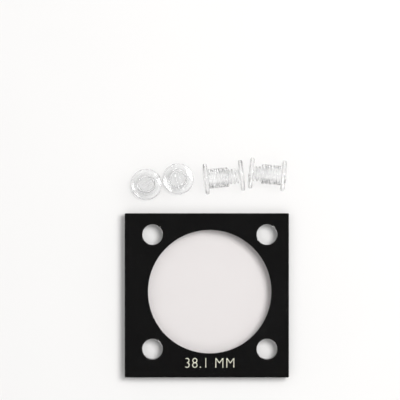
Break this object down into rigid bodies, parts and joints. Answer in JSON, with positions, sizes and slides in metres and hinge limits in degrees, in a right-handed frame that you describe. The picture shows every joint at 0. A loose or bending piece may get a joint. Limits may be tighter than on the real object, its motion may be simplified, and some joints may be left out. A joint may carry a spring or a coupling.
{
  "type": "acrylic coin holder",
  "caption": "Square screw-together acrylic coin holder: a black insert with a round coin opening between two clear covers, with clear slotted screw-and-post fasteners lying loose beside it.",
  "frame": {"origin": "middle of the back cover's outer face, which lies on the table", "axes": "+Z out of the front cover, +Y towards the plates' upper edge and the loose fasteners, +X to the right seen from the front"},
  "size_m": [0.0508, 0.068, 0.0117],
  "materials": {
    "clear_acrylic": "polished clear sheet",
    "black_acrylic": "polished black sheet",
    "clear_moulded_plastic": "clear, as moulded",
    "gold_foil": "hot-stamped foil"
  },
  "bodies": {
    "back_cover": {"back_cover": "clear_acrylic"},
    "coin_insert": {"coin_insert": "black_acrylic"},
    "front_cover": {"front_cover": "clear_acrylic"},
    "screw_1": {"screw_1": "clear_moulded_plastic"},
    "screw_2": {"screw_2": "clear_moulded_plastic"},
    "screw_3": {"screw_3": "clear_moulded_plastic"},
    "screw_4": {"screw_4": "clear_moulded_plastic"},
    "post_1": {"post_1": "clear_moulded_plastic"},
    "post_2": {"post_2": "clear_moulded_plastic"},
    "post_3": {"post_3": "clear_moulded_plastic"},
    "post_4": {"post_4": "clear_moulded_plastic"}
  },
  "joints": [
    {"name": "insert_lift", "type": "slide", "parent": "back_cover", "child": "coin_insert", "axis": [0, 0, 1], "range_m": [0, 0.025]},
    {"name": "front_cover_lift", "type": "slide", "parent": "coin_insert", "child": "front_cover", "axis": [0, 0, 1], "range_m": [0, 0.025]},
    {"name": "screw_1_turn", "type": "hinge", "parent": "back_cover", "child": "screw_1", "pos_m": [-0.01868, 0.03431, 0.0017], "axis": [0, 0, 1], "range_deg": [-1360.7, 408.2]},
    {"name": "post_1_travel", "type": "slide", "parent": "back_cover", "child": "post_1", "axis": [0, 0, -1], "range_m": [-0.004, 0.0012]},
    {"name": "screw_2_turn", "type": "hinge", "parent": "back_cover", "child": "screw_2", "pos_m": [-0.00883, 0.03601, 0.0017], "axis": [0, 0, 1], "range_deg": [-1156.6, 612.3]},
    {"name": "post_2_travel", "type": "slide", "parent": "back_cover", "child": "post_2", "axis": [0, 0, -1], "range_m": [-0.0034, 0.0018]},
    {"name": "screw_3_turn", "type": "hinge", "parent": "back_cover", "child": "screw_3", "pos_m": [0.01007, 0.03701, 0.00487], "axis": [-0.9945, -0.1045, 0], "range_deg": [-748.4, 1020.5]},
    {"name": "post_3_travel", "type": "slide", "parent": "back_cover", "child": "post_3", "axis": [0.9945, 0.1045, 0], "range_m": [-0.0022, 0.003]},
    {"name": "screw_4_turn", "type": "hinge", "parent": "back_cover", "child": "screw_4", "pos_m": [0.01447, 0.03779, 0.00487], "axis": [0.9962, -0.0872, 0], "range_deg": [-1088.6, 680.4]},
    {"name": "post_4_travel", "type": "slide", "parent": "back_cover", "child": "post_4", "axis": [-0.9962, 0.0872, 0], "range_m": [-0.0032, 0.002]}
  ],
  "couplings": [
    {"joint": "screw_1_turn", "follows": "post_1_travel", "rad_per_m": 5936.9},
    {"joint": "screw_2_turn", "follows": "post_2_travel", "rad_per_m": 5936.9},
    {"joint": "screw_3_turn", "follows": "post_3_travel", "rad_per_m": 5936.9},
    {"joint": "screw_4_turn", "follows": "post_4_travel", "rad_per_m": 5936.9}
  ]
}
